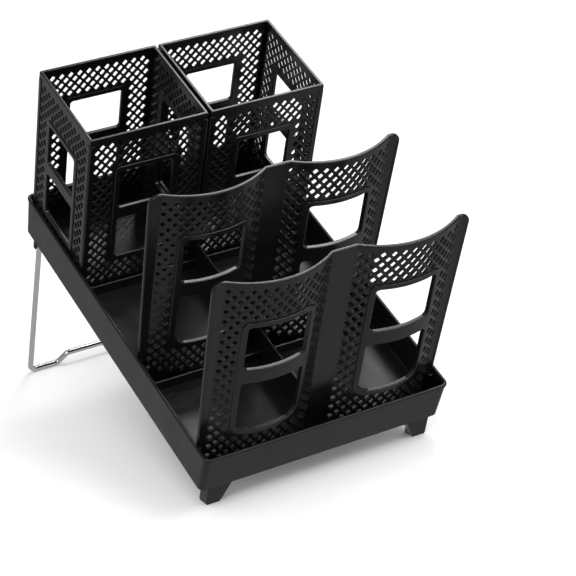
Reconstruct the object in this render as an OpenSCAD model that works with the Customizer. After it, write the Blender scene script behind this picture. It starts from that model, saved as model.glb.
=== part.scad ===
// Coffee station organizer: a tilted tray on two front feet and a folding wire stand,
// with two lift-out bins behind and two lift-out curved dividers in front.
// Millimetres, +Z up. The front of the organizer faces -Y and its width runs along X.
// The origin is on the ground, under the middle of the whole object.
// Every piece is drawn in the tray's own frame, then tilted as it stands.
// Tray frame: x = 0 on the centre line, y = 0 at the front of the lip, z = 0 at the bottom edge.

/* [Stance] */
// slope of the tray, back end up (degrees)
tilt = 24.4; // [15:0.1:30]
// height of the front edge of the tray above the ground, along the foot
foot_height = 19.8; // [14:0.1:28]

/* [Tray] */
// width over the lip
tray_width = 220; // [190:1:260]
// length over the lip
tray_length = 335; // [310:1:380]
// height of the wall with its lip
tray_height = 38; // [30:0.5:50]
// thickness of the side, front and rear walls
tray_wall = 2; // [1.6:0.1:3]
// height of the floor's upper face
floor_top = 8; // [6:0.5:12]
// thickness of the floor
floor_thickness = 2.4; // [1.6:0.1:3.4]
// how far the front wall leans out over its height
front_lean = 3.6; // [0:0.1:6]
// how far each side wall leans out over its height
side_lean = 0.4; // [0:0.1:1.4]
// radius of the upright corners
corner_radius = 6; // [4:0.5:10]
// width of the rounded lip
lip_width = 2.9; // [2.4:0.1:4]
// height of the rounded lip
lip_height = 2.5; // [2:0.1:4]
// how far the lip stands out past the wall
lip_overhang = 0.8; // [0.4:0.1:1.2]
// height of the cross ribs on the floor
rib_height = 9.5; // [5:0.5:15]
// thickness of the cross ribs and of the centre wall
rib_thickness = 2; // [1.4:0.1:3]
// how far the centre wall stays under the top of the lip
centre_wall_drop = 2; // [0:0.5:10]

/* [Feet] */
// distance from the tray's side to the foot's outer face
foot_inset = 9.3; // [7:0.1:14]
// width of the foot at the ground
foot_width = 12; // [8:0.5:20]
// how much wider the foot is at the tray, on its inner side
foot_spread = 6.5; // [2:0.5:10]
// depth of the foot, front to back
foot_depth = 12; // [8:0.5:20]
// thickness of the rubber pad under the foot
pad_thickness = 1.3; // [0.8:0.1:2.5]
// margin of the pad inside the foot's outline
pad_margin = 0.5; // [0.2:0.1:1.5]

/* [Bins] */
// gap between a bin and the tray's side wall
bin_clearance = 0.6; // [0.3:0.1:3]
// depth of one bin at its posts, front to back
bin_depth = 98; // [90:0.5:98.5]
// height of one bin
bin_height = 165; // [140:1:190]
// thickness of the pierced walls
bin_wall = 2; // [1.4:0.1:2.6]
// gap between the two bins
bin_gap = 1.6; // [1:0.1:3]
// how far the corner posts stand out from the wall
bin_proud = 0.6; // [0.3:0.1:1]
// how far the window frames stand out from the wall
bin_frame_proud = 1; // [0.3:0.1:1.2]
// how far the window frames stand out inside the bin
bin_frame_inner = 0.4; // [0.1:0.1:0.6]
// width of the corner posts
post_width = 4.4; // [3.6:0.1:7]
// height of the rim
rim_height = 2.4; // [1.6:0.1:4]
// thickness of the rim
rim_thickness = 2.6; // [2:0.1:3.4]
// thickness of the bin's floor
bin_floor = 2; // [1.4:0.1:3]
// width of the windows in the bins
bin_window_width = 47; // [36:0.5:50]

/* [Dividers] */
// height of a divider
divider_height = 194; // [170:1:230]
// how far each top corner of a divider stays inside the tray's width
divider_top_inset = 0; // [0:0.5:6]
// thickness of the pierced panel
panel_thickness = 2.4; // [2:0.1:3]
// depth of each curved bay
bay_depth = 13; // [8:0.5:14]
// width of the flat band on each side of a curved bay
bay_margin = 10.5; // [9:0.5:14]
// width of the windows in the dividers
divider_window_width = 51.6; // [40:0.1:54]
// width of the raised frame round the windows
frame_width = 4.6; // [3:0.1:6]
// how far the raised frame stands out in front
frame_proud = 1.4; // [0.3:0.1:1.8]
// how far the raised frame stands out behind
frame_back = 0.4; // [0.1:0.1:0.8]
// width of the thick edge along the top and the sides
edge_width = 2.8; // [2:0.1:4]
// extra thickness of that edge on each face
edge_proud = 0.6; // [0.3:0.1:1]

/* [Wire stand] */
// diameter of the wire
wire_diameter = 4.8; // [3.5:0.1:6]
// distance of each leg from the tray's side
leg_inset = 5; // [4:0.1:6]
// lean of the legs against the tray's upright direction (degrees)
leg_lean = 2.06; // [0:0.01:4]
// radius of the lower bends, at the wire's centre
bend_radius = 6; // [5:0.5:12]
// height of the step that lifts the middle of the foot wire
step_height = 9; // [6:0.5:14]
// clearance of the pins in their bores, all round
pin_clearance = 0.2; // [0.1:0.05:0.4]

/* [Hidden] */
$fn = 48;
eps = 0.01;
plastic = "#1d1d1f";
rubber = "#141414";
chrome = "#c9ccd0";

// tray
half_width = tray_width / 2;
wall_top = tray_height - lip_height;
floor_bottom = floor_top - floor_thickness;
inner_half = half_width - lip_overhang - side_lean - tray_wall;

// pieces along the tray, from the front
slide_gap = 0.4;
divider_clearance = 1.2;
divider_bottom = floor_top;
divider_top = floor_top + divider_height;
half_panel = panel_thickness / 2;
front_divider_y = 21.8;
rear_rib_gap = 0.6;
rear_rib_y = 108;
rear_divider_y = rear_rib_y + rib_thickness + rear_rib_gap + bay_depth + half_panel;
bin_front_y = tray_length - 6.3 - bin_depth;
bin_width = inner_half - bin_clearance - bin_gap / 2;
bin_rib_y = bin_front_y - 1.1 - rib_thickness;

// guides for the dividers' edges
guide_thickness = 1.8;
guide_reach = 4;
guide_top = wall_top - 2;

// curved bays of the dividers
divider_top_half = half_width - divider_top_inset;
bay_half = (divider_top_half - 2 * bay_margin) / 2;
bay_centre = bay_margin + bay_half;
bay_radius = (bay_half * bay_half + bay_depth * bay_depth) / (2 * bay_depth);
divider_bottom_half = inner_half - divider_clearance;
divider_corner = 8;
divider_taper = atan((divider_top_half - divider_bottom_half) / divider_height);

// windows of the dividers, heights over the tray's bottom edge
window_centre = bay_centre - 0.5;
low_window_bottom = 50.5;
low_window_top = 101.5;
high_window_bottom = 115.3;
high_window_top = 159;
window_radius = 3.5;
low_window_radius = 9;

// pierced pattern of the dividers
divider_hole_centre = bay_centre - 0.3;
divider_pitch_x = 8.4;
divider_pitch_z = 10.05;
divider_hole_w = 5.4;
divider_hole_h = 6.4;
divider_first_row = divider_top - 9.4;
divider_last_row = divider_bottom + 10;
divider_rows = floor((divider_first_row - divider_last_row) / (divider_pitch_z / 2)) + 1;
divider_columns = floor((2 * bay_half - 4.8) / divider_pitch_x) + 1;

// windows of the bins, heights over the bin's own floor
bin_low_bottom = 36;
bin_low_top = 77.5;
bin_high_bottom = 88.5;
bin_high_top = 127;
bin_frame = 4.6;
bin_low_radius = 3;
bin_window_radius = 2.5;

// pierced pattern of the bins
bin_pitch_x = 8.14;
bin_pitch_z = 9.4;
bin_hole_w = 5.6;
bin_hole_h = 6.5;
bin_first_row = bin_height - 10.2;
bin_last_row = bin_floor + bin_hole_h / 2 + 4;
bin_rows = floor((bin_first_row - bin_last_row) / (bin_pitch_z / 2)) + 1;
bin_hole_margin = 2.8;
post_drop = 6;

// wire stand, hinge in the tray frame
wire_radius = wire_diameter / 2;
hinge_y = tray_length - 21.5;
hinge_z = -4.4;
leg_x = half_width - leg_inset;
pin_end = leg_x - 13;
bend_relief = 0.02;
bend_seat = 2;
top_bend = 4;
step_outer = 78;
step_inner = step_outer - step_height;
boss_radius = wire_radius + pin_clearance + 2.2;
boss_inner = leg_x - 15;
boss_outer = leg_x - top_bend - 0.4;
stop_gap = 0.15;
stop_bottom = hinge_z - 5.6;
stop_y = hinge_y + wire_radius + tan(leg_lean) * (hinge_z - stop_bottom) + stop_gap;
stop_thickness = 4;

// feet
foot_front = 5.4;
foot_outer = half_width - foot_inset;
foot_inner = foot_outer - foot_width;
foot_fillet = 5;

// ground, before the object is moved to its origin
ground = foot_front * sin(tilt) - foot_height * cos(tilt);
hinge_up = hinge_y * sin(tilt) + hinge_z * cos(tilt);
leg_length = (hinge_up - ground - wire_radius) / cos(tilt + leg_lean);
wire_foot_y = hinge_y + leg_length * sin(leg_lean);
wire_foot_z = hinge_z - leg_length * cos(leg_lean);
front_most = (front_divider_y - bay_depth - half_panel - edge_proud) * cos(tilt) - divider_top * sin(tilt);
rear_most = wire_foot_y * cos(tilt) - wire_foot_z * sin(tilt) + wire_radius;
middle_y = (front_most + rear_most) / 2;

// moves a piece from the tray frame to where it stands
module stand() {
  translate([0, -middle_y, -ground]) rotate([tilt, 0, 0]) children();
}

// everything lower than a height over the ground, in the tray frame
module below(height) {
  rotate([-tilt, 0, 0]) translate([-400, -400, ground + height - 400]) cube([800, 1200, 400]);
}

// flat shapes

module rounded_plan(x0, y0, x1, y1, r) {
  union() {
    translate([x0 + r, y0]) square([x1 - x0 - 2 * r, y1 - y0]);
    translate([x0, y0 + r]) square([x1 - x0, y1 - y0 - 2 * r]);
    for (x = [x0 + r, x1 - r], y = [y0 + r, y1 - r]) translate([x, y]) circle(r);
  }
}

// window shape with its own radius at the lower and the upper corners
module window_shape(x0, z0, x1, z1, low, high) {
  union() {
    translate([x0, z0 + low]) square([x1 - x0, z1 - z0 - low - high]);
    translate([x0 + low, z0]) square([x1 - x0 - 2 * low, low + eps]);
    translate([x0 + high, z1 - high - eps]) square([x1 - x0 - 2 * high, high + eps]);
    for (x = [x0 + low, x1 - low]) translate([x, z0 + low]) circle(low);
    for (x = [x0 + high, x1 - high]) translate([x, z1 - high]) circle(high);
  }
}

module diamond(w, h) {
  polygon([[-w / 2, 0], [0, -h / 2], [w / 2, 0], [0, h / 2]]);
}

// tray

module tray_outline(inset) {
  intersection() {
    rotate([90, 0, 90]) linear_extrude(tray_width, center = true)
      polygon([
        [lip_overhang + front_lean + inset, 0],
        [lip_overhang + inset, wall_top + eps],
        [tray_length - lip_overhang - inset, wall_top + eps],
        [tray_length - lip_overhang - side_lean - inset, 0]
      ]);
    translate([0, tray_length, 0]) rotate([90, 0, 0]) linear_extrude(tray_length)
      polygon([
        [-half_width + lip_overhang + side_lean + inset, 0],
        [half_width - lip_overhang - side_lean - inset, 0],
        [half_width - lip_overhang - inset, wall_top + eps],
        [-half_width + lip_overhang + inset, wall_top + eps]
      ]);
    linear_extrude(tray_height)
      rounded_plan(-half_width + lip_overhang + inset, lip_overhang + inset,
        half_width - lip_overhang - inset, tray_length - lip_overhang - inset, corner_radius - inset);
  }
}

// section of the lip, its outer face on x = 0
module lip_section() {
  r = 1.1;
  union() {
    translate([-lip_width, -lip_height]) square([lip_width, lip_height - r]);
    translate([-lip_width + r, -lip_height]) square([lip_width - 2 * r, lip_height]);
    translate([-lip_width + r, -r]) circle(r);
    translate([-r, -r]) circle(r);
  }
}

module lip_corner(x, y, turn) {
  translate([x, y, 0]) rotate([0, 0, turn]) rotate_extrude(angle = 90)
    translate([corner_radius, 0]) lip_section();
}

module lip() {
  long_run = tray_length - 2 * corner_radius;
  wide_run = tray_width - 2 * corner_radius;
  translate([0, 0, tray_height]) {
    for (side = [0, 1]) mirror([side, 0, 0])
      translate([half_width, corner_radius + long_run, 0]) rotate([90, 0, 0])
        linear_extrude(long_run) lip_section();
    translate([-wide_run / 2, tray_length, 0]) rotate([0, 0, 90]) rotate([90, 0, 0])
      linear_extrude(wide_run) lip_section();
    translate([wide_run / 2, 0, 0]) rotate([0, 0, -90]) rotate([90, 0, 0])
      linear_extrude(wide_run) lip_section();
    lip_corner(wide_run / 2, tray_length - corner_radius, 0);
    lip_corner(-wide_run / 2, tray_length - corner_radius, 90);
    lip_corner(-wide_run / 2, corner_radius, 180);
    lip_corner(wide_run / 2, corner_radius, 270);
  }
}

module cross_rib(y) {
  translate([-inner_half - 1, y, floor_top - 1])
    cube([2 * inner_half + 2, rib_thickness, rib_height + 1]);
}

module centre_wall(y0, y1) {
  translate([-rib_thickness / 2, y0, floor_top - 1])
    cube([rib_thickness, y1 - y0, tray_height - centre_wall_drop - floor_top + 1]);
}

module divider_guides(y) {
  for (side = [0, 1]) mirror([side, 0, 0])
    for (place = [y - half_panel - slide_gap - guide_thickness, y + half_panel + slide_gap])
      translate([inner_half - guide_reach, place, floor_top - 1])
        cube([guide_reach + 1, guide_thickness, guide_top - floor_top + 1]);
}

// right foot, one straight bar with a flare and a fillet on its inner side
module foot_shape(margin) {
  low = -foot_height - 12;
  slope = foot_spread / foot_height;
  inner = foot_inner + margin;
  polygon([
    [foot_outer - margin, low],
    [foot_outer - margin, floor_bottom + 0.5],
    [inner - foot_spread - slope * floor_bottom, floor_bottom + 0.5],
    [inner - foot_spread, 0],
    [inner, -foot_height],
    [inner, low]
  ]);
}

module foot_bar(margin) {
  translate([0, foot_front + foot_depth - margin, 0]) rotate([90, 0, 0])
    linear_extrude(foot_depth - 2 * margin) foot_shape(margin);
}

// concave fillet between the foot's inner side and the tray's bottom edge
module foot_fillet_piece() {
  inner = foot_inner - foot_spread;
  translate([0, foot_front + foot_depth, 0]) rotate([90, 0, 0]) linear_extrude(foot_depth)
    difference() {
      translate([inner - foot_fillet, -foot_fillet]) square([foot_fillet + 1, foot_fillet + 2]);
      translate([inner - foot_fillet, -foot_fillet]) circle(foot_fillet);
    }
}

module feet() {
  for (side = [0, 1]) mirror([side, 0, 0]) {
    difference() {
      foot_bar(0);
      below(pad_thickness);
    }
    foot_fillet_piece();
  }
}

// holder for one pin of the wire stand, and the stop behind its leg
module pin_boss() {
  difference() {
    union() {
      translate([boss_inner, hinge_y, hinge_z]) rotate([0, 90, 0])
        cylinder(r = boss_radius, h = boss_outer - boss_inner);
      translate([boss_inner, hinge_y - boss_radius, hinge_z])
        cube([boss_outer - boss_inner, 2 * boss_radius, floor_bottom + 0.5 - hinge_z]);
    }
    translate([boss_inner - 1, hinge_y, hinge_z]) rotate([0, 90, 0])
      cylinder(r = wire_radius + pin_clearance, h = boss_outer - boss_inner + 2);
  }
  translate([boss_outer, stop_y, stop_bottom])
    cube([inner_half + 1 - boss_outer, stop_thickness, floor_bottom + 0.5 - stop_bottom]);
  translate([boss_inner, stop_y, stop_bottom])
    cube([boss_outer - boss_inner + eps, stop_thickness, floor_bottom + 0.5 - stop_bottom]);
}

module tray() {
  color(plastic) stand() union() {
    difference() {
      tray_outline(0);
      intersection() {
        tray_outline(tray_wall);
        translate([-half_width, 0, floor_top]) cube([tray_width, tray_length, tray_height]);
      }
      intersection() {
        translate([0, 0, -eps]) tray_outline(tray_wall);
        translate([-half_width, 0, -1]) cube([tray_width, tray_length, floor_bottom + 1]);
      }
    }
    lip();
    cross_rib(bin_rib_y);
    cross_rib(rear_rib_y);
    centre_wall(front_divider_y + half_panel + slide_gap, rear_divider_y - half_panel - slide_gap);
    centre_wall(rear_divider_y + half_panel + slide_gap, bin_rib_y + rib_thickness);
    divider_guides(front_divider_y);
    divider_guides(rear_divider_y);
    feet();
    for (side = [0, 1]) mirror([side, 0, 0]) pin_boss();
  }
}

module foot_pad_right() {
  color(rubber) stand() difference() {
    foot_bar(pad_margin);
    below(0);
    rotate([-tilt, 0, 0]) translate([-400, -400, ground + pad_thickness]) cube([800, 1200, 400]);
  }
}

module foot_pad_left() {
  mirror([1, 0, 0]) foot_pad_right();
}

// bins, drawn with the bin's own corner at its left front

// holes of one wall, staggered rows, outside the frame and inside the posts
module bin_holes(width) {
  long_row = floor((width - 2 * post_width - 2 * bin_hole_margin) / bin_pitch_x) + 1;
  for (row = [0 : bin_rows - 1]) {
    count = long_row - (row + 1) % 2;
    z = bin_first_row - row * bin_pitch_z / 2;
    for (i = [0 : count - 1]) {
      x = (i - (count - 1) / 2) * bin_pitch_x;
      beside = abs(x) > bin_window_width / 2 + bin_frame + bin_hole_w / 2 - 0.2;
      over = z > bin_high_top + bin_frame + bin_hole_h / 2 - 0.3;
      under = z < bin_low_bottom - bin_frame - bin_hole_h / 2 + 0.3;
      if (beside || over || under) translate([x, z]) diamond(bin_hole_w, bin_hole_h);
    }
  }
}

module bin_windows() {
  half = bin_window_width / 2;
  window_shape(-half, bin_low_bottom, half, bin_low_top, bin_low_radius, bin_window_radius);
  window_shape(-half, bin_high_bottom, half, bin_high_top, bin_window_radius, bin_window_radius);
}

// one pierced wall, centred on x = 0, its outer face on y = 0
module bin_wall_piece(width) {
  half = bin_window_width / 2 + bin_frame;
  translate([0, bin_wall, 0]) rotate([90, 0, 0]) linear_extrude(bin_wall)
    difference() {
      translate([-width / 2, 0]) square([width, bin_height - rim_height / 2]);
      bin_windows();
      bin_holes(width);
    }
  translate([0, bin_wall + bin_frame_inner, 0]) rotate([90, 0, 0])
    linear_extrude(bin_wall + bin_frame_inner + bin_frame_proud) difference() {
      window_shape(-half, bin_low_bottom - bin_frame, half, bin_high_top + bin_frame, 5, 4);
      bin_windows();
    }
}

module bin_body() {
  w = bin_width - 2 * bin_proud;
  d = bin_depth - 2 * bin_proud;
  post = post_width + bin_proud;
  translate([bin_proud, bin_proud, 0]) union() {
    translate([w / 2, 0, 0]) bin_wall_piece(w);
    translate([w / 2, d, 0]) mirror([0, 1, 0]) bin_wall_piece(w);
    translate([0, d / 2, 0]) rotate([0, 0, -90]) bin_wall_piece(d);
    translate([w, d / 2, 0]) rotate([0, 0, 90]) bin_wall_piece(d);
    translate([0, 0, bin_height - rim_height]) linear_extrude(rim_height) difference() {
      square([w, d]);
      translate([rim_thickness, rim_thickness])
        square([w - 2 * rim_thickness, d - 2 * rim_thickness]);
    }
    for (x = [0, 1], y = [0, 1]) translate([x * w, y * d, 0]) mirror([x, 0, 0]) mirror([0, y, 0])
      linear_extrude(bin_height - post_drop) difference() {
        translate([-bin_proud, -bin_proud]) square([post, post]);
        translate([bin_wall, bin_wall]) square([post, post]);
      }
    cube([w, d, bin_floor]);
  }
}

module bin_left() {
  color(plastic) stand() translate([-bin_width - bin_gap / 2, bin_front_y, floor_top]) bin_body();
}

module bin_right() {
  color(plastic) stand() translate([bin_gap / 2, bin_front_y, floor_top]) bin_body();
}

// dividers, drawn with the panel's middle on y = 0

// plan of the bent sheet, with its faces moved out from the middle by front and back
module divider_plan(front, back) {
  flange = divider_top_half - bay_centre - bay_half;
  for (side = [0, 1]) mirror([side, 0]) {
    intersection() {
      difference() {
        translate([bay_centre, bay_radius - bay_depth]) circle(bay_radius + front, $fn = 96);
        translate([bay_centre, bay_radius - bay_depth]) circle(bay_radius - back, $fn = 96);
      }
      translate([bay_centre - bay_half, -bay_depth - 3]) square([2 * bay_half, bay_depth + 6]);
    }
    translate([bay_centre + bay_half - 0.6, -front]) square([flange + 0.6, front + back]);
  }
  translate([-bay_centre + bay_half - 0.6, -front])
    square([2 * (bay_centre - bay_half) + 1.2, front + back]);
}

// front outline, drawn in by an inset at the sides and the top
module divider_outline(inset, bottom) {
  slope = tan(divider_taper);
  r = divider_corner - inset;
  top = divider_top - inset;
  low = divider_bottom_half - inset + slope * (bottom - divider_bottom);
  high = divider_top_half - inset - slope * inset;
  centre_x = high - slope * r - r / cos(divider_taper);
  difference() {
    polygon([[-low, bottom], [low, bottom], [high, top], [-high, top]]);
    for (side = [0, 1]) mirror([side, 0]) difference() {
      translate([centre_x, top - r]) square([r + 3, r + 1]);
      translate([centre_x, top - r]) circle(r);
    }
  }
}

module divider_windows() {
  half = divider_window_width / 2;
  for (side = [0, 1]) mirror([side, 0]) translate([window_centre, 0]) {
    window_shape(-half, low_window_bottom, half, low_window_top, low_window_radius, window_radius);
    window_shape(-half, high_window_bottom, half, high_window_top, window_radius, window_radius);
  }
}

module divider_frames() {
  half = divider_window_width / 2 + frame_width;
  difference() {
    for (side = [0, 1]) mirror([side, 0]) translate([window_centre, 0])
      window_shape(-half, low_window_bottom - frame_width, half, high_window_top + frame_width,
        low_window_radius + 3, window_radius + 3);
    divider_windows();
  }
}

// holes of both bays, staggered rows, outside the frames
module divider_holes() {
  for (row = [0 : divider_rows - 1]) {
    count = divider_columns - row % 2;
    z = divider_first_row - row * divider_pitch_z / 2;
    for (i = [0 : count - 1]) {
      x = (i - (count - 1) / 2) * divider_pitch_x;
      beside = abs(x) > divider_window_width / 2 + frame_width + divider_hole_w / 2 - 0.1;
      over = z > high_window_top + frame_width + divider_hole_h / 2;
      under = z < low_window_bottom - frame_width - divider_hole_h / 2;
      if (beside || over || under)
        for (side = [0, 1]) mirror([side, 0]) translate([divider_hole_centre + x, z])
          diamond(divider_hole_w, divider_hole_h);
    }
  }
}

// shape drawn on the front, cut through the bent sheet
module through_sheet(depth) {
  translate([0, depth, 0]) rotate([90, 0, 0]) linear_extrude(2 * depth + bay_depth) children();
}

module divider() {
  union() {
    difference() {
      intersection() {
        linear_extrude(divider_top) divider_plan(half_panel, half_panel);
        through_sheet(8) divider_outline(0, divider_bottom);
      }
      through_sheet(10) divider_holes();
      through_sheet(10) divider_windows();
    }
    intersection() {
      linear_extrude(divider_top) divider_plan(half_panel + frame_proud, half_panel + frame_back);
      through_sheet(8) divider_frames();
    }
    intersection() {
      linear_extrude(divider_top) divider_plan(half_panel + edge_proud, half_panel + edge_proud);
      through_sheet(8) difference() {
        divider_outline(0, tray_height + 4);
        divider_outline(edge_width, tray_height + 3);
      }
    }
  }
}

module divider_front() {
  color(plastic) stand() translate([0, front_divider_y, 0]) divider();
}

module divider_rear() {
  color(plastic) stand() translate([0, rear_divider_y, 0]) divider();
}

// wire stand, drawn flat: x across, y down the leg, then stood up on its hinge

function heading(a, b) = atan2(b[1] - a[1], b[0] - a[0]);
function turned(a, b, c) = (heading(b, c) - heading(a, b) + 540) % 360 - 180;
function run(a, b) = norm(b - a);
function toward(a, b, d) = a + (b - a) * d / norm(b - a);

// straight piece of wire between two points
module rod(a, b) {
  translate([a[0], a[1], 0]) rotate([0, 0, heading(a, b)]) rotate([0, 90, 0])
    cylinder(r = wire_radius, h = run(a, b));
}

// bend of the wire at point b, between a and c, its ends seated inside the straight pieces
module elbow(a, b, c, r) {
  swing = turned(a, b, c);
  sense = swing > 0 ? 1 : -1;
  cut = r * tan(abs(swing) / 2);
  start = toward(b, a, cut);
  base = heading(a, b);
  translate([start[0] - sense * r * sin(base), start[1] + sense * r * cos(base), 0])
    rotate([0, 0, base - sense * 90 - (sense < 0 ? abs(swing) : 0) - bend_seat])
      rotate_extrude(angle = abs(swing) + 2 * bend_seat) translate([r, 0]) circle(wire_radius - bend_relief);
}

// wire through a list of points, each inner point with its own bend radius
module wire(points, radii) {
  last = len(points) - 1;
  function cut(i) = (i <= 0 || i >= last) ? 0
    : radii[i] * tan(abs(turned(points[i - 1], points[i], points[i + 1])) / 2);
  for (i = [0 : last - 1])
    rod(toward(points[i], points[i + 1], cut(i)), toward(points[i + 1], points[i], cut(i + 1)));
  for (i = [1 : last - 1]) elbow(points[i - 1], points[i], points[i + 1], radii[i]);
}

module wire_stand() {
  points = [
    [-pin_end, 0], [-leg_x, 0], [-leg_x, leg_length], [-step_outer, leg_length],
    [-step_inner, leg_length - step_height], [step_inner, leg_length - step_height],
    [step_outer, leg_length], [leg_x, leg_length], [leg_x, 0], [pin_end, 0]
  ];
  radii = [0, top_bend, bend_radius, bend_radius, bend_radius, bend_radius, bend_radius, bend_radius, top_bend, 0];
  color(chrome) stand() translate([0, hinge_y, hinge_z]) rotate([leg_lean - 90, 0, 0])
    wire(points, radii);
}

tray();
foot_pad_left();
foot_pad_right();
bin_left();
bin_right();
divider_front();
divider_rear();
wire_stand();
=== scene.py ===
"""Looks of a coffee station organizer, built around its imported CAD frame.

The tray, the two bins, the two curved dividers, the wire stand and the foot pads are
modelled in millimetres in the tray's own frame, then tilted to where they stand.
"""

from __future__ import annotations

import logging
import math
from dataclasses import dataclass, field
from enum import Enum

import bmesh
import bpy
from mathutils import Matrix, Vector


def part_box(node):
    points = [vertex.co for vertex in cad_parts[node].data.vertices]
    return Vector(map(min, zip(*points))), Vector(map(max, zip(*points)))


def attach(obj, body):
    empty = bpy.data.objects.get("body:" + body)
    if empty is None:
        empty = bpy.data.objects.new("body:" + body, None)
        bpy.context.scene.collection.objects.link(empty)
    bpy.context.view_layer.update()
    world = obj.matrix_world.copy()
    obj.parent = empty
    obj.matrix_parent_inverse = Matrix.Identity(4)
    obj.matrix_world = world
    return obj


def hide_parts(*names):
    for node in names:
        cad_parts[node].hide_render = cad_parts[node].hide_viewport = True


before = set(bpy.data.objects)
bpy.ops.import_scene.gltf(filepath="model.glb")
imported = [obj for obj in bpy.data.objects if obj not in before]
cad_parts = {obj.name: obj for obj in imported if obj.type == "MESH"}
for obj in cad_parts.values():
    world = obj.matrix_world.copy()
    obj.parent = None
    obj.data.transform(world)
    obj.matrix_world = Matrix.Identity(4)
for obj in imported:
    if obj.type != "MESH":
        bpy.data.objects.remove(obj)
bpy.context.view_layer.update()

LOG = logging.getLogger("organizer")
MILLIMETRE = 0.001
Loop = list[tuple[float, float]]


class Side(Enum):
    """The two mirrored halves of the organizer, as seen from its front."""

    LEFT = -1
    RIGHT = 1


class Row(Enum):
    """The two places across the tray that hold a divider."""

    FRONT = "front"
    REAR = "rear"


class TopRow(Enum):
    """Which kind of row the topmost row of a pierced pattern is."""

    LONG = 0
    SHORT = 1


# ---------------------------------------------------------------- finishes


def socket(node: bpy.types.Node, name: str) -> bpy.types.NodeSocket:
    """The node's enabled input socket with this name."""
    return next(s for s in node.inputs if s.name == name and s.enabled)


class NodeSketch:
    """A short hand for building one material's node tree."""

    def __init__(self, name: str) -> None:
        """Starts an empty material that holds one Principled shader."""
        self.material = bpy.data.materials.new(name)
        self.material.use_nodes = True
        self.tree = self.material.node_tree
        self.tree.nodes.clear()
        self.output = self.add("ShaderNodeOutputMaterial")
        self.shader = self.add("ShaderNodeBsdfPrincipled")
        self.link(self.shader.outputs["BSDF"], self.output.inputs["Surface"])
        self.place = self.add("ShaderNodeTexCoord").outputs["Object"]

    def add(self, kind: str, **settings: object) -> bpy.types.Node:
        """Adds one node and sets its properties.

        Args:
            kind: the node's type name.
            settings: properties of the node, by name.

        Returns:
            The new node.
        """
        node = self.tree.nodes.new(kind)
        for key, value in settings.items():
            setattr(node, key, value)
        return node

    def link(self, source: bpy.types.NodeSocket, target: bpy.types.NodeSocket) -> None:
        """Joins an output socket to an input socket."""
        self.tree.links.new(source, target)

    def noise(self, scale: float, detail: float, roughness: float = 0.5) -> bpy.types.NodeSocket:
        """Adds a noise field over the piece's own coordinates.

        Args:
            scale: cells per metre.
            detail: octaves of finer noise.
            roughness: strength of the finer octaves.

        Returns:
            The noise's value socket.
        """
        node = self.add("ShaderNodeTexNoise")
        node.inputs["Scale"].default_value = scale
        node.inputs["Detail"].default_value = detail
        node.inputs["Roughness"].default_value = roughness
        self.link(self.place, node.inputs["Vector"])
        return node.outputs["Fac"]

    def remap(self, value: bpy.types.NodeSocket, low: float, high: float, start: float = 0.3, end: float = 0.7) -> bpy.types.NodeSocket:
        """Maps a noise value to a range.

        Args:
            value: the socket to map.
            low: result at the start of the input range.
            high: result at the end of the input range.
            start: start of the input range.
            end: end of the input range.

        Returns:
            The mapped value's socket.
        """
        node = self.add("ShaderNodeMapRange", clamp=True)
        node.inputs["From Min"].default_value = start
        node.inputs["From Max"].default_value = end
        node.inputs["To Min"].default_value = low
        node.inputs["To Max"].default_value = high
        self.link(value, node.inputs["Value"])
        return node.outputs["Result"]

    def tint(self, value: bpy.types.NodeSocket, dark: tuple[float, ...], light: tuple[float, ...]) -> bpy.types.NodeSocket:
        """Blends two colours by a value.

        Args:
            value: the blend's socket, 0 to 1.
            dark: colour at 0, as red, green and blue.
            light: colour at 1.

        Returns:
            The colour's socket.
        """
        node = self.add("ShaderNodeMix", data_type="RGBA")
        factor, first, second = (s for s in node.inputs if s.enabled)
        first.default_value = (*dark, 1.0)
        second.default_value = (*light, 1.0)
        self.link(value, factor)
        return next(s for s in node.outputs if s.enabled)

    def bump(self, height: bpy.types.NodeSocket, depth: float, strength: float) -> None:
        """Adds a fine relief to the shader.

        Args:
            height: the relief's height socket.
            depth: its depth in metres.
            strength: how strongly it shows.
        """
        node = self.add("ShaderNodeBump")
        node.inputs["Strength"].default_value = strength
        node.inputs["Distance"].default_value = depth
        self.link(height, node.inputs["Height"])
        self.link(node.outputs["Normal"], self.shader.inputs["Normal"])


@dataclass(frozen=True)
class MouldedPlastic:
    """Satin black injection-moulded plastic with a fine grain."""

    name: str
    smooth: float = 0.2
    rough: float = 0.28
    dark: tuple[float, float, float] = (0.0035, 0.0035, 0.0037)
    light: tuple[float, float, float] = (0.0055, 0.0055, 0.0057)
    grain_scale: float = 2600.0
    grain_depth: float = 0.00004
    grain_strength: float = 0.2

    def build(self) -> bpy.types.Material:
        """Builds the material and returns it."""
        sketch = NodeSketch(self.name)
        cloud = sketch.noise(14.0, 3.0)
        sketch.link(sketch.tint(sketch.remap(cloud, 0.0, 1.0), self.dark, self.light), sketch.shader.inputs["Base Color"])
        sketch.link(sketch.remap(sketch.noise(45.0, 4.0), self.smooth, self.rough), sketch.shader.inputs["Roughness"])
        sketch.shader.inputs["Specular IOR Level"].default_value = 0.5
        sketch.bump(sketch.noise(self.grain_scale, 2.0), self.grain_depth, self.grain_strength)
        return sketch.material


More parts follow.
